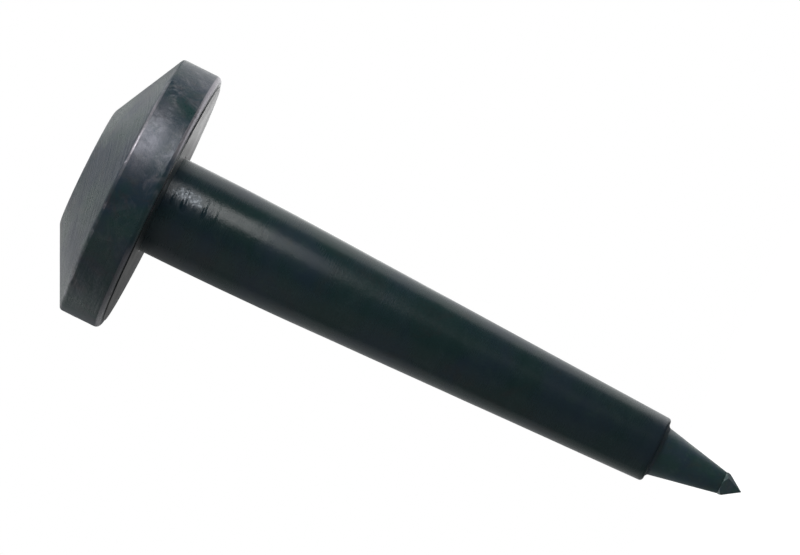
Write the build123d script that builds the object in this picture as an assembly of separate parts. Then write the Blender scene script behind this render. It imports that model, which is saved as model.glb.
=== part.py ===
"""Driven post anchor spike: a heavy steel spike with a broad striking head.

The axis is +Z. z = 0 is the bearing plane, the face of the bearing plate, which meets the
ground or the work. The head is above it; the tapered sleeve, the point and the hardened tip
are below. Millimetres.
"""
from build123d import *
import math
import os

# Strike cap: the broad head, a low truncated cone on a rim that ends above the plate's face
rim_diameter = 76.6
rim_height = 12.25
cone_height = 10.5
flat_diameter = 34.6
rim_corner_radius = 1.0
lower_corner_radius = 1.6
flat_edge_radius = 1.6
rim_wall = 2.6

# Bearing plate, pressed into the cap from below, with its face a little proud of the rim
plate_thickness = 6.0
plate_proud = 0.4
plate_edge_chamfer = 0.12
plate_top_chamfer = 0.5
plate_bore_chamfer = 0.6
plate_bore_clearance = 0.2

# Tapered sleeve: a collar in the head, a barrelled root, then a straight taper
root_diameter = 28.2
end_wall = 2.1
sleeve_length = 151.55
taper_start = 23.5
collar_overhang = 7.9
collar_height = 3.5
collar_clearance = 0.8
sleeve_end_radius = 1.1
sleeve_bore_chamfer = 0.4

# Load washer, between the pin's head and the collar
washer_margin = 1.5
washer_thickness = 2.0
washer_clearance = 1.0

# Core pin: flat head under the cap's ceiling, parallel shank, long ground point
pin_head_diameter = 33.0
pin_head_height = 5.0
pin_head_chamfer = 0.8
pin_diameter = 14.4
pin_clearance = 0.1
washer_bore_clearance = 0.4
point_length = 19.9
point_end_diameter = 6.4

# Hardened tip, pressed into the end of the pin
tip_collar_height = 1.0
tip_corner_proud = 0.5
tip_facet_length = 4.8
tip_flat = 0.16
tip_clocking = 31
spigot_diameter = 3.2
spigot_length = 6.0
spigot_hole_gap = 0.5

# Seal ring in the corner between the sleeve's end face and the point
seal_width = 0.8

# Diameters that follow from the sizes above
plate_diameter = rim_diameter - 2 * rim_wall
sleeve_bore_diameter = pin_diameter + 2 * pin_clearance
end_diameter = sleeve_bore_diameter + 2 * end_wall
collar_diameter = root_diameter + 2 * collar_overhang
washer_diameter = pin_head_diameter + 2 * washer_margin
tip_corner_diameter = point_end_diameter + 2 * tip_corner_proud

# Levels on the axis that follow from the sizes above
plate_top = plate_thickness
collar_top = plate_top + collar_height
washer_top = collar_top + washer_thickness
ceiling = washer_top + pin_head_height
rim_top = rim_height
flat_top = rim_top + cone_height
sleeve_end = -sleeve_length
point_end = sleeve_end - point_length
collar_low = point_end - tip_collar_height
tip_end = collar_low - tip_facet_length


def turned(points):
    """Turn a closed outline of (radius, height) points once round the axis."""
    outline = make_face(Polyline(*[(radius, 0, height) for radius, height in points], close=True))
    return revolve(outline, Axis.Z, 360)


def disc_edges(solid, radius, height):
    """The circular edges of a solid that have this radius at this height."""
    found = []
    for edge in solid.edges().filter_by(GeomType.CIRCLE):
        at_height = abs(edge.center(CenterOf.BOUNDING_BOX).Z - height) < 1e-4
        if at_height and abs(edge.radius - radius) < 1e-4:
            found.append(edge)
    return found


def strike_cap():
    """Head with the flat to strike on top, bored in three steps from below."""
    rim_r = rim_diameter / 2
    flat_r = flat_diameter / 2
    plate_r = plate_diameter / 2
    collar_bore_r = collar_diameter / 2 + collar_clearance
    head_bore_r = washer_diameter / 2 + washer_clearance
    cap = turned([
        (0, ceiling),
        (0, flat_top),
        (flat_r, flat_top),
        (rim_r, rim_top),
        (rim_r, plate_proud),
        (plate_r, plate_proud),
        (plate_r, plate_top),
        (collar_bore_r, plate_top),
        (collar_bore_r, collar_top),
        (head_bore_r, collar_top),
        (head_bore_r, ceiling),
    ])
    cap = fillet(disc_edges(cap, flat_r, flat_top), flat_edge_radius)
    cap = fillet(disc_edges(cap, rim_r, rim_top), rim_corner_radius)
    return fillet(disc_edges(cap, rim_r, plate_proud), lower_corner_radius)


def bearing_plate():
    """Disc pressed up to the cap's step, bored for the sleeve, proud of the rim below."""
    plate_r = plate_diameter / 2
    bore_r = root_diameter / 2 + plate_bore_clearance
    plate = turned([
        (bore_r, 0),
        (plate_r, 0),
        (plate_r, plate_top),
        (bore_r, plate_top),
    ])
    plate = chamfer(disc_edges(plate, bore_r, 0), plate_bore_chamfer)
    plate = chamfer(disc_edges(plate, plate_r, 0), plate_edge_chamfer)
    return chamfer(disc_edges(plate, plate_r, plate_top), plate_top_chamfer)


def taper_sleeve():
    """Collared tube whose side is parallel at the root and bends into a straight taper."""
    root_r = root_diameter / 2
    end_r = end_diameter / 2
    bore_r = sleeve_bore_diameter / 2
    collar_r = collar_diameter / 2
    taper_angle = math.atan((root_r - end_r) / (sleeve_length - taper_start))
    blend_radius = taper_start / math.tan(taper_angle / 2)
    root = (root_r, 0, 0)
    bend = (root_r, 0, -taper_start)
    end = (end_r, 0, sleeve_end)
    side = FilletPolyline(root, bend, end, radius=blend_radius * 0.999)
    rest = Polyline(
        end,
        (bore_r, 0, sleeve_end),
        (bore_r, 0, collar_top),
        (collar_r, 0, collar_top),
        (collar_r, 0, plate_top),
        (root_r, 0, plate_top),
        root,
    )
    sleeve = revolve(make_face(side.edges() + rest.edges()), Axis.Z, 360)
    sleeve = fillet(disc_edges(sleeve, end_r, sleeve_end), sleeve_end_radius)
    return chamfer(disc_edges(sleeve, bore_r, collar_top), sleeve_bore_chamfer)


def load_washer():
    """Hard washer that spreads the blow from the pin's head over the collar."""
    outer_r = washer_diameter / 2
    bore_r = pin_diameter / 2 + washer_bore_clearance
    return turned([
        (bore_r, collar_top),
        (outer_r, collar_top),
        (outer_r, washer_top),
        (bore_r, washer_top),
    ])


def core_pin():
    """Headed pin through the sleeve, which comes out below as the ground point."""
    head_r = pin_head_diameter / 2
    shank_r = pin_diameter / 2
    end_r = point_end_diameter / 2
    hole_r = spigot_diameter / 2
    hole_end = point_end + spigot_length + spigot_hole_gap
    pin = turned([
        (0, ceiling),
        (head_r, ceiling),
        (head_r, washer_top),
        (shank_r, washer_top),
        (shank_r, sleeve_end),
        (end_r, point_end),
        (hole_r, point_end),
        (hole_r, hole_end),
        (0, hole_end),
    ])
    return chamfer(disc_edges(pin, head_r, ceiling), pin_head_chamfer)


def end_seal():
    """Small ring with a hollow outer face, in the corner under the sleeve's end."""
    shank_r = pin_diameter / 2
    point_slope = (pin_diameter - point_end_diameter) / 2 / point_length
    hollow_depth = seal_width * (1 - math.sqrt(0.5))
    inner = (shank_r, 0, sleeve_end)
    outer = (shank_r + seal_width, 0, sleeve_end)
    lower = (shank_r - seal_width * point_slope, 0, sleeve_end - seal_width)
    middle = (shank_r + hollow_depth, 0, sleeve_end - hollow_depth)
    hollow = ThreePointArc(lower, middle, outer)
    straight = Polyline(outer, inner, lower)
    return revolve(make_face(hollow.edges() + straight.edges()), Axis.Z, 360)


def tip_insert():
    """Square-pointed tip: four ground facets whose corners stand proud, and a spigot above."""
    base_r = point_end_diameter / 2
    corner_r = tip_corner_diameter / 2
    facet_growth = 1 + tip_collar_height / tip_facet_length
    width_at_collar = corner_r * math.sqrt(2)
    width_at_base = width_at_collar * facet_growth
    base_square = Rectangle(width_at_base, width_at_base, rotation=tip_clocking - 45)
    end_square = Rectangle(tip_flat, tip_flat, rotation=tip_clocking - 45)
    pyramid = loft([
        Plane.XY.offset(point_end) * base_square,
        Plane.XY.offset(tip_end) * end_square,
    ])
    round_head = turned([
        (0, point_end),
        (base_r, point_end),
        (corner_r, collar_low),
        (corner_r, tip_end),
        (0, tip_end),
    ])
    spigot = turned([
        (0, point_end),
        (spigot_diameter / 2, point_end),
        (spigot_diameter / 2, point_end + spigot_length),
        (0, point_end + spigot_length),
    ])
    return (round_head & pyramid) + spigot


def main():
    os.makedirs("parts", exist_ok=True)
    export_step(strike_cap(), "parts/strike_cap.step")
    export_step(bearing_plate(), "parts/bearing_plate.step")
    export_step(taper_sleeve(), "parts/taper_sleeve.step")
    export_step(load_washer(), "parts/load_washer.step")
    export_step(core_pin(), "parts/core_pin.step")
    export_step(end_seal(), "parts/end_seal.step")
    export_step(tip_insert(), "parts/tip_insert.step")


main()
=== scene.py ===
"""A driven post anchor spike, built up as it is put together on the bench.

Pin, tip, washer, sleeve, seal, plate and cap, then the studio. Metres, +Z from the tip to the head.
"""
import math
import random

import bmesh
import bpy
from mathutils import Matrix, Vector, noise


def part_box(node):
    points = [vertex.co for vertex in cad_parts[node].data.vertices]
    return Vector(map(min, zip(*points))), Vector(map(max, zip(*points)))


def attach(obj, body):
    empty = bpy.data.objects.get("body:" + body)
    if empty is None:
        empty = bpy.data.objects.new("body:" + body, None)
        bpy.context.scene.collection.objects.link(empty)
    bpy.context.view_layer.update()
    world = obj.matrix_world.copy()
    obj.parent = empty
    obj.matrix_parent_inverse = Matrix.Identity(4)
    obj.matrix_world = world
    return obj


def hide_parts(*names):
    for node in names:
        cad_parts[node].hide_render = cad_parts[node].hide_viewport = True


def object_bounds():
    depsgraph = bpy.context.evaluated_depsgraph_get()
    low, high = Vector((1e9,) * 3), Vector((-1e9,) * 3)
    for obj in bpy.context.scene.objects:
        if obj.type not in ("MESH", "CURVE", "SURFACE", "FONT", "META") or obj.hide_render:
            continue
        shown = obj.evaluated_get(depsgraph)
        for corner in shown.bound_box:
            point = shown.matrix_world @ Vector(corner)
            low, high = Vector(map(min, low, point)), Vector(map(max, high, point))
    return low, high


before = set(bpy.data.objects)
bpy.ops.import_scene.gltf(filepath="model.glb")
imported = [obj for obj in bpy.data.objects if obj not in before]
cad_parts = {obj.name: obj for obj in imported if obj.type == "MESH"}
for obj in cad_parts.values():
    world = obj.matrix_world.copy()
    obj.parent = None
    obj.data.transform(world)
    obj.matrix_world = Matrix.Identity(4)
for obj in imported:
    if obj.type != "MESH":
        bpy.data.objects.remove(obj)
cad_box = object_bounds()

# ---------------------------------------------------------------------------------------------
# Core pin. A bar of alloy steel with a forged flat head, turned parallel along the sleeve and
# ground to a long point below it. Blackened by hot oxide and oiled; the head is never seen.
mm = 0.001
plate_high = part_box("bearing_plate")[1]
sleeve_low, sleeve_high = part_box("taper_sleeve")
washer_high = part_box("load_washer")[1]
pin_low, pin_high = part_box("core_pin")
pin_head_radius = pin_high.x
pin_radius = 7.2 * mm
point_end_radius = 3.2 * mm
spigot_radius = 1.6 * mm
spigot_hole_depth = 6.5 * mm


def lathe_outline(corners, step):
    """Closely spaced (radius, height, corner) points along an outline of rounded corners.

    Each corner is (radius, height, round, step factor for the run that follows it). The third
    value of a point is 1 on a small rounded corner and 0 on the runs and on long bends.
    """
    small_corner = 2.0 * mm
    arcs = []
    for index, (radius, height, rounding, _) in enumerate(corners):
        here = Vector((radius, height))
        before = Vector(corners[index - 1][:2])
        after = Vector(corners[(index + 1) % len(corners)][:2])
        if rounding == 0:
            arcs.append([(here, 0.0)])
            continue
        towards = (before - here).normalized()
        onwards = (after - here).normalized()
        half = towards.angle(onwards) / 2
        reach = rounding / math.tan(half)
        centre = here + (towards + onwards).normalized() * rounding / math.sin(half)
        start = here + towards * reach
        sweep = (start - centre).angle_signed(here + onwards * reach - centre)
        parts = max(4, math.ceil(abs(sweep) * rounding / (0.5 * step)))
        sharpness = min(1.0, small_corner / rounding) ** 2
        arc = []
        for part in range(parts + 1):
            turn = Matrix.Rotation(-sweep * part / parts, 2)
            bend = sharpness * (1 - abs(2 * part / parts - 1) ** 4)
            arc.append((centre + turn @ (start - centre), bend))
        arcs.append(arc)
    points = []
    for index, arc in enumerate(arcs):
        points.extend(arc)
        here = arc[-1][0]
        after = arcs[(index + 1) % len(arcs)][0][0]
        run = (after - here).length
        parts = max(1, round(run / (step * corners[index][3])))
        for part in range(1, parts):
            points.append((here.lerp(after, part / parts), 0.0))
    return [(max(point.x, 0.0), point.y, corner) for point, corner in points]


def turn_piece(name, outline, segments, relief=None):
    """Turn a closed outline round the axis into a mesh object.

    relief(angle, radius, height, corner) is how far the metal stands off the turned surface. The
    mesh carries how much of a corner and how much of a dent each point lies in.
    """
    shallow_dent = 0.126 * mm
    full_dent = 0.266 * mm
    count = len(outline)
    mesh = bmesh.new()
    rings = []
    corners = []
    hollows = []
    for index, (radius, height, corner) in enumerate(outline):
        before = outline[index - 1]
        after = outline[(index + 1) % count]
        along = Vector((after[0] - before[0], after[1] - before[1]))
        outward = Vector((along.y, -along.x)).normalized()
        turns = 1 if radius < 1e-7 else segments
        ring = []
        for segment in range(turns):
            angle = 2 * math.pi * segment / segments
            lift = relief(angle, radius, height, corner) if relief and turns > 1 else 0
            reach = radius + outward.x * lift
            place = (reach * math.cos(angle), reach * math.sin(angle), height + outward.y * lift)
            ring.append(mesh.verts.new(place))
            corners.append(corner)
            sunk = (-lift - shallow_dent) / (full_dent - shallow_dent)
            hollows.append(min(1.0, max(0.0, sunk)))
        rings.append(ring)
    for index, ring in enumerate(rings):
        after = rings[(index + 1) % count]
        if len(ring) == 1 and len(after) == 1:
            continue
        for segment in range(segments):
            a, b = ring[segment % len(ring)], ring[(segment + 1) % len(ring)]
            c, d = after[(segment + 1) % len(after)], after[segment % len(after)]
            face = [a] if a is b else [a, b]
            face += [c] if c is d else [c, d]
            mesh.faces.new(face)
    bmesh.ops.recalc_face_normals(mesh, faces=mesh.faces)
    data = bpy.data.meshes.new(name)
    mesh.to_mesh(data)
    mesh.free()
    data.attributes.new("corner", "FLOAT", "POINT").data.foreach_set("value", corners)
    data.attributes.new("hollow", "FLOAT", "POINT").data.foreach_set("value", hollows)
    data.shade_smooth()
    piece = bpy.data.objects.new(name, data)
    bpy.context.scene.collection.objects.link(piece)
    return piece


def add_node(tree, kind, x, y, **settings):
    """A shader node at a place on the sheet, with its settings and plain input values."""
    node = tree.nodes.new(kind)
    node.location = (x, y)
    for key, value in settings.items():
        if hasattr(node, key):
            setattr(node, key, value)
        else:
            node.inputs[key.replace("_", " ")].default_value = value
    return node


def feed(tree, socket, value):
    """Give an input either another node's output or a plain number or colour."""
    if isinstance(value, bpy.types.NodeSocket):
        tree.links.new(value, socket)
    else:
        socket.default_value = value


def sum_up(tree, operation, first, second, x, y):
    """One operation on two numbers or outputs; gives the result's output."""
    node = add_node(tree, "ShaderNodeMath", x, y, operation=operation)
    feed(tree, node.inputs[0], first)
    feed(tree, node.inputs[1], second)
    return node.outputs[0]


def rescale(tree, value, low, high, new_low, new_high, x, y):
    """Map a value from one range to another, held at both ends, with a soft start and end."""
    node = add_node(tree, "ShaderNodeMapRange", x, y, interpolation_type="SMOOTHSTEP")
    for socket, given in zip(node.inputs[:5], (value, low, high, new_low, new_high)):
        feed(tree, socket, given)
    return node.outputs["Result"]


def mix_colours(tree, share, first, second, x, y):
    """Mix two colours by a share; gives the mixed colour's output."""
    node = add_node(tree, "ShaderNodeMix", x, y, data_type="RGBA")
    feed(tree, node.inputs[0], share)
    feed(tree, node.inputs[6], first)
    feed(tree, node.inputs[7], second)
    return node.outputs[2]


def cloudy(tree, vector, scale, detail, x, y, roughness=0.55, distortion=0.0):
    """Noise over a vector; gives its value's output."""
    node = add_node(tree, "ShaderNodeTexNoise", x, y, Detail=detail, Roughness=roughness)
    node.inputs["Distortion"].default_value = distortion
    feed(tree, node.inputs["Vector"], vector)
    feed(tree, node.inputs["Scale"], scale)
    return node.outputs[0]


def new_group(name, inputs, outputs):
    """An empty shader node group with named inputs and outputs."""
    group = bpy.data.node_groups.new(name, "ShaderNodeTree")
    for title, value in inputs.items():
        kind = "NodeSocketColor" if isinstance(value, tuple) else "NodeSocketFloat"
        socket = group.interface.new_socket(title, in_out="INPUT", socket_type=kind)
        socket.default_value = value
    for title, kind in outputs.items():
        group.interface.new_socket(title, in_out="OUTPUT", socket_type="NodeSocket" + kind)
    entry = add_node(group, "NodeGroupInput", -1200, 0)
    leave = add_node(group, "NodeGroupOutput", 900, 0)
    return group, entry, leave


def place_group(tree, group, x, y, **values):
    """Put a node group into a material with its own values."""
    node = add_node(tree, "ShaderNodeGroup", x, y, node_tree=group)
    for title, value in values.items():
        feed(tree, node.inputs[title.replace("_", " ")], value)
    return node


def turned_vector(tree, run, sweep, twist, x, y):
    """A vector for marks on turned work: run is how many marks lie in a metre of outline.

    Sweep is how often they change round the work, and twist leans them, in turns per metre.
    """
    place = add_node(tree, "ShaderNodeTexCoord", x, y).outputs["Object"]
    split = add_node(tree, "ShaderNodeSeparateXYZ", x + 160, y)
    tree.links.new(place, split.inputs[0])
    level = add_node(tree, "ShaderNodeCombineXYZ", x + 320, y + 120)
    tree.links.new(split.outputs[0], level.inputs[0])
    tree.links.new(split.outputs[1], level.inputs[1])
    radius = add_node(tree, "ShaderNodeVectorMath", x + 480, y + 200, operation="LENGTH")
    tree.links.new(level.outputs[0], radius.inputs[0])
    unit = add_node(tree, "ShaderNodeVectorMath", x + 480, y, operation="NORMALIZE")
    tree.links.new(level.outputs[0], unit.inputs[0])
    lean = sum_up(tree, "MULTIPLY", radius.outputs["Value"], twist, x + 640, y + 200)
    turned = add_node(tree, "ShaderNodeVectorRotate", x + 800, y, rotation_type="Z_AXIS")
    tree.links.new(unit.outputs[0], turned.inputs["Vector"])
    tree.links.new(lean, turned.inputs["Angle"])
    around = add_node(tree, "ShaderNodeVectorMath", x + 960, y, operation="SCALE")
    tree.links.new(turned.outputs[0], around.inputs[0])
    feed(tree, around.inputs["Scale"], sweep)
    outline = sum_up(tree, "MULTIPLY_ADD", radius.outputs["Value"], 0.8, x + 800, y - 200)
    tree.links.new(split.outputs[2], outline.node.inputs[2])
    climb = sum_up(tree, "MULTIPLY", outline, run, x + 960, y - 200)
    whole = add_node(tree, "ShaderNodeCombineXYZ", x + 1120, y - 200)
    tree.links.new(climb, whole.inputs[2])
    total = add_node(tree, "ShaderNodeVectorMath", x + 1280, y, operation="ADD")
    tree.links.new(around.outputs[0], total.inputs[0])
    tree.links.new(whole.outputs[0], total.inputs[1])
    return total.outputs[0]


def make_oxide_mottle():
    """Clouds of dark, blue, brown and pale oxide, as a hot black bath leaves on steel.

    Patch is the broad clouds' own value, Peel a slow unevenness and Grain the finest one.
    """
    inputs = {
        "Dark": (0.008, 0.016, 0.018, 1),
        "Blue": (0.010, 0.018, 0.025, 1),
        "Brown": (0.02, 0.018, 0.018, 1),
        "Pale": (0.02, 0.03, 0.03, 1),
        "Scale": 60.0,
    }
    outputs = {"Color": "Color", "Patch": "Float", "Peel": "Float", "Grain": "Float"}
    group, entry, leave = new_group("oxide_mottle", inputs, outputs)
    place = add_node(group, "ShaderNodeTexCoord", -1000, 300).outputs["Object"]
    fine_scale = sum_up(group, "MULTIPLY", entry.outputs["Scale"], 4.3, -1000, -100)
    grain_scale = sum_up(group, "MULTIPLY", entry.outputs["Scale"], 60.0, -1000, -300)
    broad = cloudy(group, place, entry.outputs["Scale"], 5, -700, 300, distortion=0.4)
    fine = cloudy(group, place, fine_scale, 7, -700, 0, 0.62, 0.3)
    grain = cloudy(group, place, grain_scale, 4, -700, -300)
    peel = cloudy(group, place, 520.0, 3, -700, -600)
    stain_scale = sum_up(group, "MULTIPLY", entry.outputs["Scale"], 1.7, -1000, -500)
    stain = cloudy(group, place, stain_scale, 8, -700, 600, 0.7, 0.8)
    blue_share = rescale(group, broad, 0.38, 0.62, 0, 1, -450, 300)
    brown_share = rescale(group, stain, 0.5, 0.72, 0, 0.9, -450, 600)
    pale_share = rescale(group, fine, 0.5, 0.78, 0, 1, -450, 0)
    speckle = rescale(group, grain, 0.55, 0.8, 0, 0.5, -450, -300)
    pale_share = sum_up(group, "MAXIMUM", pale_share, speckle, -250, -100)
    colour = mix_colours(group, blue_share, entry.outputs["Dark"], entry.outputs["Blue"], -50, 300)
    colour = mix_colours(group, brown_share, colour, entry.outputs["Brown"], 50, 500)
    colour = mix_colours(group, pale_share, colour, entry.outputs["Pale"], 200, 200)
    group.links.new(colour, leave.inputs["Color"])
    group.links.new(broad, leave.inputs["Patch"])
    group.links.new(peel, leave.inputs["Peel"])
    group.links.new(grain, leave.inputs["Grain"])
    return group


def make_tool_marks():
    """Fine grooves that a lathe, a grinding wheel or a belt leaves round the work."""
    inputs = {"Run": 3000.0, "Sweep": 6.0, "Twist": 0.0}
    outputs = {"Height": "Float", "Band": "Float"}
    group, entry, leave = new_group("tool_marks", inputs, outputs)
    vector = turned_vector(group, *[entry.outputs[title] for title in inputs], -1000, 0)
    fine = cloudy(group, vector, 1.0, 3, 450, 100, 0.7)
    broad = cloudy(group, vector, 0.11, 2, 450, -150)
    group.links.new(fine, leave.inputs["Height"])
    group.links.new(broad, leave.inputs["Band"])
    return group


def make_edge_wear():
    """Bare metal along the rounded corners, where handling and blows have rubbed it.

    A point is bare where its corner and a ragged noise together stand higher than a threshold,
    which falls as Amount rises.
    """
    inputs = {"Amount": 0.5, "Scale": 110.0}
    group, entry, leave = new_group("edge_wear", inputs, {"Mask": "Float"})
    place = add_node(group, "ShaderNodeTexCoord", -1000, -200).outputs["Object"]
    corner = add_node(group, "ShaderNodeAttribute", -1000, 200, attribute_name="corner")
    ragged = cloudy(group, place, entry.outputs["Scale"], 6, -700, -200, 0.65, 0.4)
    lift = sum_up(group, "SUBTRACT", ragged, 0.5, -450, -200)
    height = sum_up(group, "MULTIPLY_ADD", lift, 1.5, -250, 0)
    group.links.new(corner.outputs["Fac"], height.node.inputs[2])
    threshold = sum_up(group, "SUBTRACT", 1.35, entry.outputs["Amount"], -250, 300)
    soft = sum_up(group, "ADD", threshold, 0.8, -50, 300)
    mask = rescale(group, height, threshold, soft, 0, 1, 200, 100)
    on_corner = rescale(group, corner.outputs["Fac"], 0.1, 0.9, 0, 1, 200, -200)
    mask = sum_up(group, "MULTIPLY", mask, on_corner, 500, 0)
    group.links.new(mask, leave.inputs["Mask"])
    return group


def make_fine_scratches():
    """Short thin scratches, lying along the work or round it as Run and Sweep say.

    They lie closer together in some zones than in others, and everywhere as Cover rises.
    """
    inputs = {"Run": 200.0, "Sweep": 300.0, "Twist": 0.0, "Cover": 0.3}
    group, entry, leave = new_group("fine_scratches", inputs, {"Mask": "Float"})
    titles = ("Run", "Sweep", "Twist")
    vector = turned_vector(group, *[entry.outputs[title] for title in titles], -1000, 0)
    lines = cloudy(group, vector, 1.0, 2, 450, 100, 0.6)
    place = add_node(group, "ShaderNodeTexCoord", 250, -250).outputs["Object"]
    zones = cloudy(group, place, 130.0, 3, 450, -250)
    covered = sum_up(group, "MULTIPLY", entry.outputs["Cover"], 0.3, 450, -450)
    start = sum_up(group, "SUBTRACT", 0.8, covered, 600, -450)
    here = rescale(group, zones, 0.42, 0.62, 0.07, 0.0, 600, -250)
    start = sum_up(group, "ADD", start, here, 700, -300)
    full = sum_up(group, "ADD", start, 0.1, 700, -500)
    mask = rescale(group, lines, start, full, 0, 1, 800, 100)
    group.links.new(mask, leave.inputs["Mask"])
    return group


oxide_mottle = make_oxide_mottle()
tool_marks = make_tool_marks()
edge_wear = make_edge_wear()
fine_scratches = make_fine_scratches()


def new_material(name):
    """An empty node material with its output; gives the material, tree and shader."""
    material = bpy.data.materials.new(name)
    material.use_nodes = True
    tree = material.node_tree
    tree.nodes.clear()
    output = add_node(tree, "ShaderNodeOutputMaterial", 1200, 0)
    shader = add_node(tree, "ShaderNodeBsdfPrincipled", 900, 0)
    tree.links.new(shader.outputs["BSDF"], output.inputs["Surface"])
    return material, tree, shader


def object_place(tree, x, y):
    """The place on the piece, in metres."""
    return add_node(tree, "ShaderNodeTexCoord", x, y).outputs["Object"]


def blackened_steel(name, tones, scale, marks, gloss, wear, bare=None):
    """Black-oxide steel with mottling, tool marks, scratches and worn corners.

    Tones are dark, blue, brown and pale oxide and bare metal. Marks are (run, sweep, twist,
    depth, peel), where peel is how uneven the surface is between the tool marks.
    Gloss is (least, most) roughness, and wear is (corner wear, scratch cover). Bare is a
    function that adds one more mask of bare metal, which on the sleeve and the head is partly
    painted highlight.
    """
    material, tree, shader = new_material(name)
    dark, blue, brown, pale, metal = [tone + (1,) for tone in tones]
    run, sweep, twist, depth, peel = marks
    oxides = {"Dark": dark, "Blue": blue, "Brown": brown, "Pale": pale}
    mottle = place_group(tree, oxide_mottle, -900, 400, Scale=scale, **oxides)
    grooves = place_group(tree, tool_marks, -900, 100, Run=run, Sweep=sweep, Twist=twist)
    corners = place_group(tree, edge_wear, -900, -100, Amount=wear[0])
    cover = wear[1]
    round_lines = place_group(tree, fine_scratches, -900, -300, Run=1700.0, Sweep=5.0, Cover=cover)
    long_lines = place_group(tree, fine_scratches, -900, -500, Run=70.0, Sweep=80.0, Cover=cover)
    lines = sum_up(tree, "MAXIMUM", round_lines.outputs[0], long_lines.outputs[0], -650, -400)
    faint_lines = sum_up(tree, "MULTIPLY", lines, 0.06, -450, -400)
    worn = sum_up(tree, "MAXIMUM", corners.outputs[0], faint_lines, -250, -300)
    # On the sleeve and the head this extra mask is partly painted highlight.
    if bare:
        worn = sum_up(tree, "MAXIMUM", worn, bare(tree), -50, -300)
    hollow = add_node(tree, "ShaderNodeAttribute", -50, -950, attribute_name="hollow")
    raised = sum_up(tree, "SUBTRACT", 1.0, hollow.outputs["Fac"], 100, -950)
    worn = sum_up(tree, "MULTIPLY", worn, raised, 250, -300)
    banded = rescale(tree, grooves.outputs["Band"], 0.3, 0.7, 0.0, 0.3, -450, 200)
    colour = mix_colours(tree, banded, mottle.outputs["Color"], pale, -50, 400)
    colour = mix_colours(tree, worn, colour, metal, 250, 400)
    tree.links.new(colour, shader.inputs["Base Color"])
    tree.links.new(sum_up(tree, "MULTIPLY", worn, 0.85, 250, 200), shader.inputs["Metallic"])
    satin = rescale(tree, mottle.outputs["Patch"], 0.3, 0.7, gloss[0], gloss[1], 0, 0)
    ground = sum_up(tree, "MULTIPLY_ADD", grooves.outputs["Height"], 0.1, 250, 0)
    tree.links.new(satin, ground.node.inputs[2])
    tree.links.new(ground, shader.inputs["Roughness"])
    cut = sum_up(tree, "MULTIPLY", grooves.outputs["Height"], depth, -450, -600)
    rise = sum_up(tree, "MULTIPLY_ADD", mottle.outputs["Grain"], 0.3, -250, -600)
    tree.links.new(cut, rise.node.inputs[2])
    swell = sum_up(tree, "MULTIPLY_ADD", mottle.outputs["Peel"], peel, -50, -600)
    tree.links.new(rise, swell.node.inputs[2])
    scored = sum_up(tree, "MULTIPLY", lines, 0.18, -50, -750)
    height = sum_up(tree, "SUBTRACT", swell, scored, 250, -600)
    bump = add_node(tree, "ShaderNodeBump", 550, -400, Strength=0.6, Distance=0.06 * mm)
    tree.links.new(height, bump.inputs["Height"])
    tree.links.new(bump.outputs["Normal"], shader.inputs["Normal"])
    return material, tree, shader


pin_corners = [
    (0, pin_high.z, 0, 3),
    (pin_head_radius, pin_high.z, 0.8 * mm, 3),
    (pin_head_radius, washer_high.z, 0.3 * mm, 3),
    (pin_radius, washer_high.z, 0, 4),
    (pin_radius, sleeve_low.z, 0, 0.6),
    (point_end_radius, pin_low.z, 0.2 * mm, 1),
    (spigot_radius, pin_low.z, 0, 1),
    (spigot_radius, pin_low.z + spigot_hole_depth, 0, 1),
    (0, pin_low.z + spigot_hole_depth, 0, 1),
]


def point_relief(angle, radius, height, corner):
    """Flats and ripples that hand grinding leaves on the point."""
    plain_root = 1.0 * mm
    flat_length = 7 * mm
    if height > sleeve_low.z - plain_root or radius < point_end_radius:
        return 0
    place = Vector((math.cos(angle) * 1.3, math.sin(angle) * 1.3, height / flat_length))
    return 0.05 * mm * noise.noise(place) + 0.012 * mm * noise.noise(place * 5)


pin = turn_piece("core_pin_steel", lathe_outline(pin_corners, 0.5 * mm), 160, point_relief)
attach(pin, "root")
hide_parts("core_pin")

point_tones = [
    (0.0210, 0.0880, 0.0760),
    (0.0300, 0.0700, 0.1100),
    (0.0480, 0.0720, 0.0720),
    (0.0560, 0.1150, 0.1200),
    (0.20, 0.21, 0.22),
]
point_marks = (2400.0, 5.0, 0.0, 1.0, 0.7)
pin_finish, _, _ = blackened_steel(
    "blackened_pin", point_tones, 120.0, point_marks, (0.27, 0.38), (0.55, 0.3)
)
pin.data.materials.append(pin_finish)

# ---------------------------------------------------------------------------------------------
# Tip insert. A hardened steel square point pressed into the pin's end by its spigot. Four facets
# are ground on it, and their corners stand a little proud of the point.
tip_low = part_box("tip_insert")[0]
tip_corner_radius = 3.7 * mm
tip_collar = 1.0 * mm
tip_flat = 0.1 * mm
tip_clocking = math.radians(31)
tip_spigot_length = 6.0 * mm


def facet_radius(angle, height):
    """How far the ground square reaches from the axis at an angle and height."""
    collar_height = pin_low.z - tip_collar
    share = (height - tip_low.z) / (collar_height - tip_low.z)
    half_width = (tip_corner_radius * share + tip_flat) / math.sqrt(2)
    from_corner = (angle - tip_clocking) % (math.pi / 2) - math.pi / 4
    return half_width / math.cos(from_corner)


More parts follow.
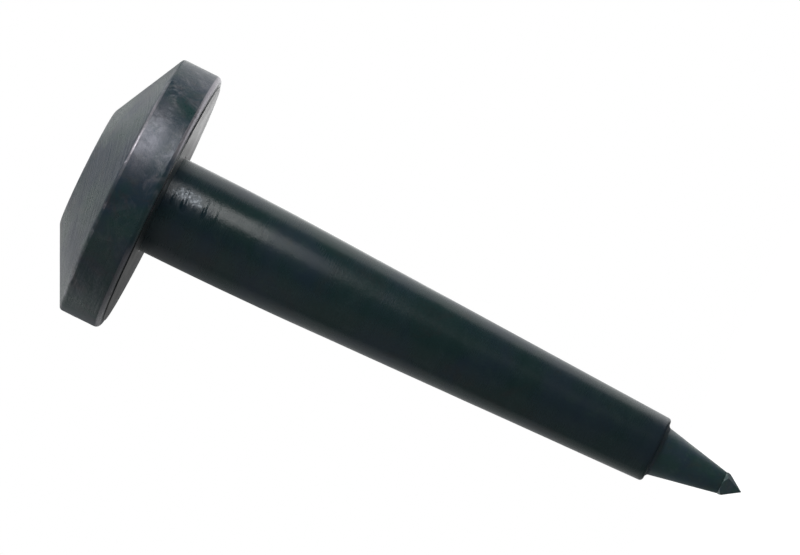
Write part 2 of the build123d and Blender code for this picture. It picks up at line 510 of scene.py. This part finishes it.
def build_tip():
    """The tip as one mesh, with rings of vertices that follow the square facets."""
    segments = 96
    collar_rings = 6
    facet_rings = 16
    collar_foot = pin_low.z - tip_collar
    facet_length = collar_foot - tip_low.z
    heights = [pin_low.z - tip_collar * part / collar_rings for part in range(collar_rings + 1)]
    heights += [collar_foot - facet_length * (part + 1) / facet_rings for part in range(facet_rings)]
    mesh = bmesh.new()
    rings = []
    spigot_top = pin_low.z + tip_spigot_length
    for height in (spigot_top, pin_low.z):
        ring = []
        for segment in range(segments):
            angle = 2 * math.pi * segment / segments + tip_clocking
            place = (spigot_radius * math.cos(angle), spigot_radius * math.sin(angle), height)
            ring.append(mesh.verts.new(place))
        rings.append(ring)
    for height in heights:
        flare = min(1, (pin_low.z - height) / tip_collar)
        round_radius = point_end_radius + (tip_corner_radius - point_end_radius) * flare
        ring = []
        for segment in range(segments):
            angle = 2 * math.pi * segment / segments + tip_clocking
            reach = min(round_radius, facet_radius(angle, height))
            ring.append(mesh.verts.new((reach * math.cos(angle), reach * math.sin(angle), height)))
        rings.append(ring)
    for ring, after in zip(rings, rings[1:]):
        for segment in range(segments):
            follow = (segment + 1) % segments
            mesh.faces.new([ring[segment], ring[follow], after[follow], after[segment]])
    mesh.faces.new(rings[0])
    mesh.faces.new(rings[-1])
    bmesh.ops.recalc_face_normals(mesh, faces=mesh.faces)
    data = bpy.data.meshes.new("tip_steel")
    mesh.to_mesh(data)
    ridges = []
    ridge_start = -0.03
    ridge_width = 0.1
    for vertex in mesh.verts:
        turn = math.atan2(vertex.co.y, vertex.co.x) - tip_clocking - ridge_start
        on_facets = vertex.co.z < pin_low.z - tip_collar / 2
        ridges.append(1.0 if turn % (math.pi / 2) < ridge_width and on_facets else 0.0)
    mesh.free()
    data.attributes.new("ridge", "FLOAT", "POINT").data.foreach_set("value", ridges)
    data.shade_smooth()
    data.set_sharp_from_angle(angle=math.radians(22))
    piece = bpy.data.objects.new("tip_steel", data)
    bpy.context.scene.collection.objects.link(piece)
    return piece


tip = build_tip()
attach(tip, "root")
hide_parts("tip_insert")


def ridge_wear(tree):
    """Bare metal on the ridges between the ground facets, broken up by a fine noise."""
    ridge = add_node(tree, "ShaderNodeAttribute", -900, -800, attribute_name="ridge")
    ragged = cloudy(tree, object_place(tree, -1100, -950), 900.0, 4, -900, -950)
    rubbed = sum_up(tree, "MULTIPLY", ridge.outputs["Fac"], ragged, -700, -800)
    return rescale(tree, rubbed, 0.28, 0.5, 0, 0.5, -500, -800)


tip_tones = [
    (0.0750, 0.1650, 0.1600),
    (0.0850, 0.1450, 0.1900),
    (0.1100, 0.1400, 0.1400),
    (0.1600, 0.2200, 0.2250),
    (0.30, 0.31, 0.32),
]
tip_marks = (5200.0, 2.0, 60.0, 1.2, 0.7)
tip_finish, _, _ = blackened_steel(
    "hardened_tip", tip_tones, 300.0, tip_marks, (0.24, 0.36), (0.4, 0.5), ridge_wear
)
tip.data.materials.append(tip_finish)

# ---------------------------------------------------------------------------------------------
# Load washer. A hardened steel ring, ground flat on both faces and left bright. It lies between
# the pin's head and the sleeve's collar and spreads each blow. It keeps its designed shape.
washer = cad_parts["load_washer"]
washer_tones = [
    (0.20, 0.20, 0.20),
    (0.22, 0.22, 0.24),
    (0.22, 0.19, 0.17),
    (0.30, 0.29, 0.28),
    (0.50, 0.49, 0.47),
]
washer_marks = (3000.0, 3.0, 0.0, 0.7, 0.5)
washer_finish, _, _ = blackened_steel(
    "hard_washer", washer_tones, 150.0, washer_marks, (0.25, 0.4), (0.4, 0.5)
)
washer.data.materials.clear()
washer.data.materials.append(washer_finish)

# ---------------------------------------------------------------------------------------------
# Taper sleeve. A heavy steel tube with a collar that sits in the head, barrelled at the root and
# then tapered. It was held in a chuck close to the head, whose jaws have left bright marks; the
# first of them, on the gloss band near the head, is also painted highlight.
root_radius = 14.1 * mm
sleeve_end_radius = 9.4 * mm
sleeve_bore_radius = 7.3 * mm
taper_start = 23.5 * mm
taper_angle = math.atan((root_radius - sleeve_end_radius) / (-sleeve_low.z - taper_start))
# A hair under the full radius, so that the long bend starts just below the plate's face.
barrel_radius = taper_start / math.tan(taper_angle / 2) * 0.999
sleeve_corners = [
    (sleeve_bore_radius, sleeve_high.z, 0.3 * mm, 8),
    (sleeve_high.x, sleeve_high.z, 0.3 * mm, 2),
    (sleeve_high.x, plate_high.z, 0.3 * mm, 4),
    (root_radius, plate_high.z, 0, 4),
    (root_radius, 0, 0, 1),
    (root_radius, -taper_start, barrel_radius, 2),
    (sleeve_end_radius, sleeve_low.z, 1.1 * mm, 1),
    (sleeve_bore_radius, sleeve_low.z, 0, 12),
]
first_jaw = -70
jaw_angles = [math.radians(first_jaw + 120 * jaw) for jaw in range(3)]
jaw_bites = [0.16 * mm, 0.34 * mm, 0.05 * mm, 0.30 * mm, 0.10 * mm]
jaw_sides = ((-8.0, 1.0), (3.0, 0.3))
jaw_top = -2.4 * mm
jaw_pitch = 3.1 * mm
random.seed(7)
jaw_marks = []
for jaw in jaw_angles:
    strength = 1.0 if jaw == jaw_angles[0] else 0.7
    for tooth, bite in enumerate(jaw_bites):
        for side, share in jaw_sides:
            jaw_marks.append((
                jaw + math.radians(side + random.uniform(-1.5, 1.5)),
                jaw_top - tooth * jaw_pitch + random.uniform(-0.4, 0.4) * mm,
                random.uniform(1.0, 1.5) * mm,
                random.uniform(0.4, 0.7) * mm,
                strength * share * bite,
                random.uniform(-0.6, 0.6),
            ))


def dent(angle, radius, height, mark):
    """How deep a mark is at a place: 0 away from it, with a low burr pushed up round it.

    A mark is its angle and height, its half width round the work and up it, its depth and lean.
    """
    mark_angle, mark_height, half_round, half_up, depth, lean = mark
    up = height - mark_height
    if abs(up) > 3 * half_up + abs(lean) * 2 * mm:
        return 0
    turn = (angle - mark_angle + math.pi) % (2 * math.pi) - math.pi
    if abs(turn) * radius > 4 * half_round:
        return 0
    across = (turn * radius + lean * up) / half_round
    square = across ** 2 + (up / half_up) ** 2
    return depth * (math.exp(-square) - 0.28 * math.exp(-(math.sqrt(square) - 1.6) ** 2 * 4))


def sleeve_relief(angle, radius, height, corner):
    """Jaw marks near the head and the slight ripple of a long taper turned between centres."""
    plain_root = 0.3 * mm
    end_face_radius = sleeve_end_radius - 0.9 * mm
    ripple_length = 16 * mm
    jaw_length = 18 * mm
    if height > -plain_root or radius < end_face_radius:
        return 0
    place = Vector((math.cos(angle) * 1.6, math.sin(angle) * 1.6, height / ripple_length))
    lift = 0.035 * mm * noise.noise(place) + 0.010 * mm * noise.noise(place * 4.5)
    if height > -jaw_length:
        lift -= sum(dent(angle, radius, height, mark) for mark in jaw_marks)
    return lift


sleeve_outline = lathe_outline(sleeve_corners, 0.55 * mm)
sleeve = turn_piece("taper_sleeve_steel", sleeve_outline, 256, sleeve_relief)
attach(sleeve, "root")
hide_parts("taper_sleeve")


def jaw_rub_and_highlight(tree):
    """Bright rubbed patches, longer than they are wide, where each jaw gripped; the first and largest
    is also painted highlight at the start of the gloss band.

    Lengths up the sleeve are halved first, so a patch that is round there is twice as long here.
    """
    place = object_place(tree, -1500, -900)
    squeezed = add_node(tree, "ShaderNodeVectorMath", -1300, -900, operation="MULTIPLY")
    tree.links.new(place, squeezed.inputs[0])
    squeezed.inputs[1].default_value = (1, 1, 0.5)
    torn = cloudy(tree, place, 620.0, 8, -1100, -1100, 0.62, 1.1)
    rub = None
    rub_height = -3.2 * mm
    # The first jaw lies on the key light's gloss band; its larger bright patch is partly painted
    # highlight.
    for jaw, reach in zip(jaw_angles, (1.0, 0.8, 0.8)):
        centre = (root_radius * math.cos(jaw), root_radius * math.sin(jaw), rub_height)
        gap = add_node(tree, "ShaderNodeVectorMath", -1100, -900, operation="DISTANCE")
        tree.links.new(squeezed.outputs[0], gap.inputs[0])
        gap.inputs[1].default_value = centre
        near = rescale(tree, gap.outputs["Value"], 1.2 * mm, 4.6 * mm * reach, 0.5, 0, -900, -900)
        rub = near if rub is None else sum_up(tree, "MAXIMUM", rub, near, -700, -900)
    height = sum_up(tree, "ADD", rub, torn, -500, -900)
    inside = rescale(tree, rub, 0.0, 0.12, 0, 1, -500, -1100)
    rubbed = rescale(tree, height, 0.84, 1.12, 0, 0.5, -300, -900)
    return sum_up(tree, "MULTIPLY", rubbed, inside, -150, -900)


sleeve_tones = [
    (0.0110, 0.0400, 0.0400),
    (0.0150, 0.0350, 0.0560),
    (0.0240, 0.0340, 0.0360),
    (0.0240, 0.0540, 0.0570),
    (0.30, 0.31, 0.33),
]
sleeve_marks = (2600.0, 4.0, 0.0, 0.5, 0.6)
sleeve_finish, _, shader = blackened_steel(
    "blackened_sleeve", sleeve_tones, 45.0, sleeve_marks, (0.19, 0.27), (0.12, 0.3), jaw_rub_and_highlight
)
shader.inputs["Specular IOR Level"].default_value = 0.45
sleeve.data.materials.append(sleeve_finish)

# ---------------------------------------------------------------------------------------------
# End seal. A bead of dark grey sealing compound wiped into the corner between the sleeve's end
# and the point, so that no water creeps up the bore. It keeps its designed shape.
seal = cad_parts["end_seal"]
seal_finish, tree, shader = new_material("seal_compound")
mottle = place_group(
    tree, oxide_mottle, -600, 200,
    Dark=(0.045, 0.085, 0.090, 1), Blue=(0.050, 0.080, 0.110, 1),
    Brown=(0.080, 0.080, 0.085, 1), Pale=(0.110, 0.130, 0.140, 1), Scale=400.0,
)
tree.links.new(mottle.outputs["Color"], shader.inputs["Base Color"])
matt = rescale(tree, mottle.outputs["Patch"], 0.3, 0.7, 0.5, 0.7, 0, 0)
tree.links.new(matt, shader.inputs["Roughness"])
bump = add_node(tree, "ShaderNodeBump", 300, -300, Strength=0.5, Distance=0.08 * mm)
tree.links.new(mottle.outputs["Patch"], bump.inputs["Height"])
tree.links.new(bump.outputs["Normal"], shader.inputs["Normal"])
seal.data.materials.clear()
seal.data.materials.append(seal_finish)

# ---------------------------------------------------------------------------------------------
# Bearing plate. A steel disc faced on a lathe, bored to pass over the sleeve and pressed into the
# head from below. Its face stands a little proud of the rim and takes the load on the work.
plate_radius = plate_high.x
plate_bore_radius = 14.3 * mm
plate_corners = [
    (plate_radius, 0, 0.15 * mm, 3),
    (plate_radius, plate_high.z, 0.4 * mm, 4),
    (plate_bore_radius, plate_high.z, 0, 4),
    (plate_bore_radius, 0, 0.3 * mm, 1),
]


def plate_relief(angle, radius, height, corner):
    """Light dishing and pitting of the face that has sat on gravel and steel."""
    face_depth = 0.1 * mm
    plain_edge = 0.6 * mm
    dish_size = 5 * mm
    if height > face_depth or radius > plate_radius - plain_edge:
        return 0
    place = Vector((math.cos(angle) * radius, math.sin(angle) * radius, 0)) / dish_size
    pits = min(0, noise.noise(place * 2.2) + 0.28)
    return 0.02 * mm * noise.noise(place) + 0.12 * mm * pits


plate = turn_piece("bearing_plate_steel", lathe_outline(plate_corners, 0.6 * mm), 384, plate_relief)
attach(plate, "root")
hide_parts("bearing_plate")


def face_rub(tree):
    """Patches of the face rubbed bare, more towards +X."""
    place = object_place(tree, -1300, -900)
    across = add_node(tree, "ShaderNodeSeparateXYZ", -1100, -900)
    tree.links.new(place, across.inputs[0])
    side = rescale(tree, across.outputs[0], -10 * mm, 24 * mm, 0.0, 0.3, -900, -900)
    patchy = cloudy(tree, place, 170.0, 6, -1100, -1100, 0.6, 0.5)
    height = sum_up(tree, "ADD", side, patchy, -700, -900)
    return rescale(tree, height, 0.55, 0.85, 0.0, 0.22, -500, -900)


plate_tones = [
    (0.0060, 0.0150, 0.0150),
    (0.0080, 0.0130, 0.0210),
    (0.0240, 0.0190, 0.0180),
    (0.0200, 0.0260, 0.0270),
    (0.30, 0.30, 0.32),
]
plate_marks = (1500.0, 3.0, 0.0, 0.6, 0.3)
plate_finish, _, _ = blackened_steel(
    "blackened_plate", plate_tones, 90.0, plate_marks, (0.23, 0.32), (0.05, 0.4), face_rub
)
plate.data.materials.append(plate_finish)

# ---------------------------------------------------------------------------------------------
# Strike cap. The broad forged head, turned all over: a low cone cut off flat for the hammer, on a
# thick rim. The rim's edges are knocked and rubbed bright, partly as painted highlight where the
# key light falls, and one side carries a short gouge.
cap_low, cap_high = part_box("strike_cap")
rim_radius = cap_high.x
rim_height = 12.25 * mm
flat_radius = 17.3 * mm
collar_bore_radius = 22.8 * mm
head_bore_radius = 19.0 * mm
cap_corners = [
    (0, cap_high.z, 0, 1),
    (flat_radius, cap_high.z, 1.6 * mm, 1),
    (rim_radius, rim_height, 1.0 * mm, 1),
    (rim_radius, cap_low.z, 1.6 * mm, 1),
    (plate_radius, cap_low.z, 0, 3),
    (plate_radius, plate_high.z, 0, 6),
    (collar_bore_radius, plate_high.z, 0, 6),
    (collar_bore_radius, sleeve_high.z, 0, 6),
    (head_bore_radius, sleeve_high.z, 0, 6),
    (head_bore_radius, pin_high.z, 0, 6),
    (0, pin_high.z, 0, 6),
]
upper_edge = rim_height - 0.2 * mm
lower_edge = cap_low.z + 0.5 * mm
random.seed(23)
rim_nicks = []
for _ in range(24):
    edge = random.choice([upper_edge, upper_edge, lower_edge])
    rim_nicks.append((
        random.uniform(-math.pi, math.pi),
        edge + random.uniform(-0.4, 0.4) * mm,
        random.uniform(0.5, 1.8) * mm,
        random.uniform(0.3, 0.7) * mm,
        random.uniform(0.03, 0.13) * mm,
        random.uniform(-0.4, 0.4),
    ))
for _ in range(26):
    rim_nicks.append((
        random.uniform(-math.pi, math.pi),
        random.uniform(2.0, 11.5) * mm,
        random.uniform(0.25, 1.1) * mm,
        random.uniform(0.2, 0.6) * mm,
        random.uniform(0.03, 0.09) * mm,
        random.uniform(-0.8, 0.8),
    ))
# The knock is turned to where the key light's highlight falls on the rim.
knock_and_highlight_angle = math.radians(-66)
gouge_start = Vector((math.radians(-36), 11.2 * mm))
gouge_end = Vector((math.radians(-52), 7.4 * mm))
gouge_depth = 0.36 * mm
gouge_end_depth = 0.16 * mm
gouge_parts = 7
for part in range(gouge_parts):
    share = part / (gouge_parts - 1)
    gouge_angle, gouge_height = gouge_start.lerp(gouge_end, share)
    rim_nicks.append((
        gouge_angle + random.uniform(-0.012, 0.012),
        gouge_height,
        random.uniform(0.45, 0.8) * mm,
        random.uniform(0.5, 1.1) * mm,
        gouge_depth + (gouge_end_depth - gouge_depth) * share,
        random.uniform(-0.4, 0.9),
    ))
blow_marks = []
for _ in range(9):
    reach = flat_radius * 0.8 * math.sqrt(random.random())
    turn = random.uniform(-math.pi, math.pi)
    place = Vector((reach * math.cos(turn), reach * math.sin(turn)))
    blow_marks.append((place, random.uniform(1.6, 3.6) * mm, random.uniform(0.04, 0.13) * mm))


def cap_relief(angle, radius, height, corner):
    """Knocks along the rim, the gouge, shallow hammer marks and a little turning ripple."""
    inside_radius = plate_radius + 0.3 * mm
    inside_height = pin_high.z + 1.0 * mm
    nicked_height = rim_height + 1.0 * mm
    struck_radius = flat_radius + 4 * mm
    ripple_length = 11 * mm
    if radius < inside_radius and height < inside_height:
        return 0
    place = Vector((math.cos(angle) * radius, math.sin(angle) * radius, height)) / ripple_length
    lift = 0.03 * mm * noise.noise(place) + 0.012 * mm * noise.noise(place * 4)
    if height < nicked_height:
        for nick in rim_nicks:
            lift -= dent(angle, radius, height, nick)
    elif radius < struck_radius:
        here = Vector((math.cos(angle) * radius, math.sin(angle) * radius))
        for centre, size, depth in blow_marks:
            share = (here - centre).length / size
            if share < 2.5:
                lift -= depth * (math.exp(-share ** 4) - 0.2 * math.exp(-(share - 1.25) ** 2 * 12))
    return lift


cap = turn_piece("strike_cap_steel", lathe_outline(cap_corners, 0.5 * mm), 448, cap_relief)
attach(cap, "root")
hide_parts("strike_cap")


def worn_patches(tree, split, patchy):
    """Bare patches on the rim and on the flat that is struck, fewer on the cone and on the left."""
    across = split.outputs[0]
    level = split.outputs[2]
    struck = rescale(tree, level, cap_high.z - 0.8 * mm, cap_high.z, 0.0, 0.12, -900, -800)
    raised = sum_up(tree, "ADD", patchy, struck, -700, -900)
    one_side = rescale(tree, across, -8 * mm, 12 * mm, 0.3, 1.0, -700, -1400)
    patches = rescale(tree, raised, 0.46, 0.74, 0.0, 0.36, -500, -900)
    patches = sum_up(tree, "MULTIPLY", patches, one_side, -400, -1100)
    on_rim = rescale(tree, level, rim_height, rim_height + 1.5 * mm, 1, 0.15, -500, -700)
    on_flat = rescale(tree, level, cap_high.z - 1 * mm, cap_high.z, 0, 0.6, -500, -500)
    on_both = sum_up(tree, "ADD", on_rim, on_flat, -300, -600)
    return sum_up(tree, "MULTIPLY", patches, on_both, -300, -900)


def knocked_edge_and_highlight(tree, place, split, patchy, corner):
    """Bare metal along the rim's upper edge, most where it was knocked and smeared down from there,
    laid where the key light's highlight falls: partly painted highlight.
    """
    level = split.outputs[2]
    knocked_at = (
        rim_radius * math.cos(knock_and_highlight_angle), rim_radius * math.sin(knock_and_highlight_angle), rim_height
    )
    gap = add_node(tree, "ShaderNodeVectorMath", -1100, -1200, operation="DISTANCE")
    tree.links.new(place, gap.inputs[0])
    gap.inputs[1].default_value = knocked_at
    near = rescale(tree, gap.outputs["Value"], 4 * mm, 19 * mm, 0.45, 0, -900, -1200)
    ragged = rescale(tree, patchy, 0.4, 0.65, 0.04, 0.5, -900, -1050)
    upper_half = rescale(tree, level, 4 * mm, 8 * mm, 0, 1, -900, -1600)
    on_edge = rescale(tree, corner, 0.05, 0.5, 0, upper_half, -900, -1400)
    bared = sum_up(tree, "ADD", near, ragged, -800, -1200)
    bared = sum_up(tree, "MULTIPLY", bared, on_edge, -700, -1200)
    # The smear lightens the front of the rim beside its highlight: painted highlight.
    smeared = rescale(tree, patchy, 0.35, 0.6, 0.2, 0.8, -900, -1800)
    smeared = sum_up(tree, "MULTIPLY", smeared, near, -700, -1800)
    below_cone = rescale(tree, level, rim_height, rim_height + 0.4 * mm, 1, 0, -900, -2000)
    smeared = sum_up(tree, "MULTIPLY", smeared, below_cone, -500, -1800)
    smeared = sum_up(tree, "MULTIPLY", smeared, upper_half, -400, -1800)
    return sum_up(tree, "MAXIMUM", bared, smeared, -300, -1400)


def rubbed_foot_and_highlight(tree, split, corner):
    """Bare metal on the rim's lower corner, on both sides of the sleeve and more on the right, where
    the corner catches the light: partly painted highlight.
    """
    across = split.outputs[0]
    level = split.outputs[2]
    at_foot = rescale(tree, level, 1.6 * mm, 3.2 * mm, 1, 0, -900, -2200)
    # More bare metal on the lit right side and none in front of the sleeve: painted highlight.
    right = rescale(tree, across, 10.5 * mm, 16 * mm, 0, 0.8, -900, -2400)
    left = rescale(tree, across, -18 * mm, -12.5 * mm, 0.4, 0, -900, -2600)
    sides = sum_up(tree, "MAXIMUM", right, left, -800, -2400)
    sides = sum_up(tree, "MULTIPLY", sides, at_foot, -700, -2200)
    return rescale(tree, corner, 0.45, 1.0, 0, sides, -500, -2200)


def cap_rub_and_highlight(tree):
    """All the bare metal on the cap: patches, the knocked upper edge and the rubbed foot, the last two
    partly painted highlight.
    """
    place = object_place(tree, -1300, -900)
    split = add_node(tree, "ShaderNodeSeparateXYZ", -1100, -800)
    tree.links.new(place, split.inputs[0])
    patchy = cloudy(tree, place, 150.0, 8, -1100, -1000, 0.75, 0.8)
    edge = add_node(tree, "ShaderNodeAttribute", -1100, -1400, attribute_name="corner")
    corner = edge.outputs["Fac"]
    patches = worn_patches(tree, split, patchy)
    knocked = knocked_edge_and_highlight(tree, place, split, patchy, corner)
    foot = rubbed_foot_and_highlight(tree, split, corner)
    edges = sum_up(tree, "MAXIMUM", knocked, foot, -200, -1400)
    return sum_up(tree, "MAXIMUM", patches, edges, -100, -1000)


def belt_ribs(tree, x, y):
    """Heights of turning ribs round the whole cap and of a belt's slanting streaks on its cone."""
    turned = place_group(tree, tool_marks, x, y + 400, Run=1200.0, Sweep=2.5)
    streaks = place_group(tree, tool_marks, x, y, Run=110.0, Sweep=32.0, Twist=70.0)
    split = add_node(tree, "ShaderNodeSeparateXYZ", x, y - 200)
    tree.links.new(object_place(tree, x - 200, y - 200), split.inputs[0])
    level = split.outputs[2]
    on_cone = rescale(tree, level, rim_height, rim_height + 0.8 * mm, 0, 5.0, x + 200, y - 200)
    slanting = sum_up(tree, "MULTIPLY", streaks.outputs["Height"], on_cone, x + 200, y)
    return sum_up(tree, "ADD", slanting, turned.outputs["Height"], x + 400, y + 200)


cap_tones = [
    (0.0110, 0.0500, 0.0480),
    (0.0150, 0.0360, 0.0650),
    (0.0400, 0.0360, 0.0440),
    (0.0300, 0.0520, 0.0580),
    (0.42, 0.40, 0.44),
]
cap_marks = (900.0, 26.0, 90.0, 2.0, 1.5)
cap_finish, tree, shader = blackened_steel(
    "blackened_head", cap_tones, 70.0, cap_marks, (0.21, 0.31), (0.1, 0.6), cap_rub_and_highlight
)
shader.inputs["Specular IOR Level"].default_value = 0.55
ribbed = add_node(tree, "ShaderNodeBump", 700, -500, Strength=0.7, Distance=0.09 * mm)
tree.links.new(belt_ribs(tree, 100, -1100), ribbed.inputs["Height"])
tree.links.new(shader.inputs["Normal"].links[0].from_socket, ribbed.inputs["Normal"])
tree.links.new(ribbed.outputs["Normal"], shader.inputs["Normal"])
cap.data.materials.append(cap_finish)

# ---------------------------------------------------------------------------------------------
# Studio. An opal light table under the tip, clear when seen from below, a pale sky, and nine soft
# panels: the brightest near the head, the rest beside, behind and below the spike. The camera
# stands well back, a little below the spike's middle, and is rolled so that the spike lies across.
floor_size = 2.0
floor_mesh = bmesh.new()
bmesh.ops.create_grid(floor_mesh, x_segments=8, y_segments=8, size=floor_size / 2)
floor_data = bpy.data.meshes.new("floor")
floor_mesh.to_mesh(floor_data)
floor_mesh.free()
floor = bpy.data.objects.new("floor", floor_data)
floor.location.z = cad_box[0][2]
bpy.context.scene.collection.objects.link(floor)
opal, tree, shader = new_material("opal_table")
shader.inputs["Base Color"].default_value = (0.15, 0.15, 0.15, 1)
shader.inputs["Roughness"].default_value = 0.9
shader.inputs["Emission Color"].default_value = (1, 1, 1, 1)
seen = add_node(tree, "ShaderNodeLightPath", 300, -300)
split = add_node(tree, "ShaderNodeSeparateXYZ", 100, -500)
tree.links.new(object_place(tree, -100, -500), split.inputs[0])
lamp = rescale(tree, split.outputs[1], 0.2, 0.9, 0.04, 0.3, 300, -500)
glow = sum_up(tree, "MAXIMUM", lamp, seen.outputs["Is Camera Ray"], 600, -300)
tree.links.new(glow, shader.inputs["Emission Strength"])
output = shader.outputs["BSDF"].links[0].to_node
under = add_node(tree, "ShaderNodeNewGeometry", 900, 300).outputs["Backfacing"]
clear = add_node(tree, "ShaderNodeBsdfTransparent", 900, 150)
one_way = add_node(tree, "ShaderNodeMixShader", 1100, 150)
tree.links.new(under, one_way.inputs[0])
tree.links.new(shader.outputs["BSDF"], one_way.inputs[1])
tree.links.new(clear.outputs["BSDF"], one_way.inputs[2])
tree.links.new(one_way.outputs["Shader"], output.inputs["Surface"])
floor.data.materials.append(opal)

world = bpy.data.worlds.new("studio")
world.use_nodes = True
bpy.context.scene.world = world
tree = world.node_tree
sky = tree.nodes["Background"]
towards = add_node(tree, "ShaderNodeTexCoord", -1200, 0)
split = add_node(tree, "ShaderNodeSeparateXYZ", -1000, 0)
tree.links.new(towards.outputs["Generated"], split.inputs[0])
across, depth, level = split.outputs
# A wall of light behind that is brighter above the horizon, and a dimmer one in front on the left.
behind = rescale(tree, depth, -0.05, 0.4, 0.07, 0.18, -1000, 200)
above = rescale(tree, level, -0.12, 0.12, 0.85, 1.35, -1000, 400)
behind = sum_up(tree, "MULTIPLY", behind, above, -800, 200)
left = rescale(tree, across, -0.2, -0.7, 0, 0.2, -1000, 700)
in_front = rescale(tree, depth, 0.15, -0.3, 0, 1, -1000, 900)
left = sum_up(tree, "MULTIPLY", left, in_front, -800, 700)
walls = sum_up(tree, "ADD", behind, left, -600, 400)
# A bright ceiling over the back half that fades again straight overhead.
over_back = rescale(tree, depth, -0.3, 0.15, 0, 1, -800, 0)
overhead = rescale(tree, level, 0.12, 0.6, 0, 0.84, -800, -200)
zenith = rescale(tree, level, 0.6, 0.88, 1, 0.15, -800, -400)
overhead = sum_up(tree, "MULTIPLY", overhead, zenith, -700, -300)
ceiling = sum_up(tree, "MULTIPLY", over_back, overhead, -600, -100)
brightness = sum_up(tree, "ADD", walls, ceiling, -400, 100)
seen = add_node(tree, "ShaderNodeLightPath", -600, 300)
brightness = sum_up(tree, "MAXIMUM", brightness, seen.outputs["Is Camera Ray"], -200, 100)
tree.links.new(brightness, sky.inputs["Strength"])
sky.inputs["Color"].default_value = (1, 1, 1, 1)


def studio_light(name, place, aim, size, radiance):
    """A soft panel that faces a point, unseen itself; radiance is how bright its surface is."""
    data = bpy.data.lights.new(name, "AREA")
    data.shape = "RECTANGLE"
    data.size, data.size_y = size
    data.energy = 4 * size[0] * size[1] * radiance
    light = bpy.data.objects.new(name, data)
    light.location = place
    back = (Vector(place) - Vector(aim)).normalized()
    side = Vector((0, 0, 1)).cross(back).normalized()
    light.rotation_euler = Matrix((side, back.cross(side), back)).transposed().to_euler()
    light.visible_camera = False
    bpy.context.scene.collection.objects.link(light)


studio_light("key", (0.171, -0.183, 0.012), (0, 0, 0.012), (0.135, 0.088), 3.8)
studio_light("edge", (0.13, -0.14, 0.20), (0.01, -0.03, 0.012), (0.10, 0.10), 4.5)
studio_light("strip", (0.150, -0.215, -0.115), (0, 0, -0.115), (0.09, 0.12), 0.09)
studio_light("back_right", (0.17, 0.19, -0.095), (0, 0, -0.095), (0.40, 0.27), 0.6)
studio_light("back_left", (-0.18, 0.16, -0.10), (0, 0, -0.10), (0.34, 0.13), 0.17)
studio_light("top_left", (-0.25, 0.07, 0.10), (0, 0, 0.01), (0.22, 0.16), 0.35)
studio_light("back_low", (0.075, 0.30, -0.03), (0.075, 0, -0.03), (0.12, 0.10), 0.42)
studio_light("low_right", (0.13, 0.09, -0.17), (0.12, 0.08, 0), (0.14, 0.22), 0.8)
studio_light("low_left", (-0.13, 0.09, -0.17), (-0.12, 0.08, 0), (0.14, 0.22), 0.12)

view_distance = 2.4
view_height = -0.110
view_aim = Vector((0.01108, 0, -0.06736))
view_roll = math.radians(63.56)
frame_width = 0.2194
camera_data = bpy.data.cameras.new("camera")
camera_data.sensor_width = 36
camera_data.lens = camera_data.sensor_width * view_distance / frame_width
camera_data.clip_start = 0.05
camera = bpy.data.objects.new("camera", camera_data)
camera_place = Vector((view_aim.x, -view_distance, view_height))
back = (camera_place - view_aim).normalized()
side = Vector((1, 0, 0))
along = back.cross(side)
right = side * math.cos(view_roll) - along * math.sin(view_roll)
up = side * math.sin(view_roll) + along * math.cos(view_roll)
turn = Matrix((right, up, back)).transposed().to_4x4()
camera.matrix_world = Matrix.Translation(camera_place) @ turn
bpy.context.scene.collection.objects.link(camera)
bpy.context.scene.camera = camera
bpy.context.scene.view_settings.view_transform = "Standard"
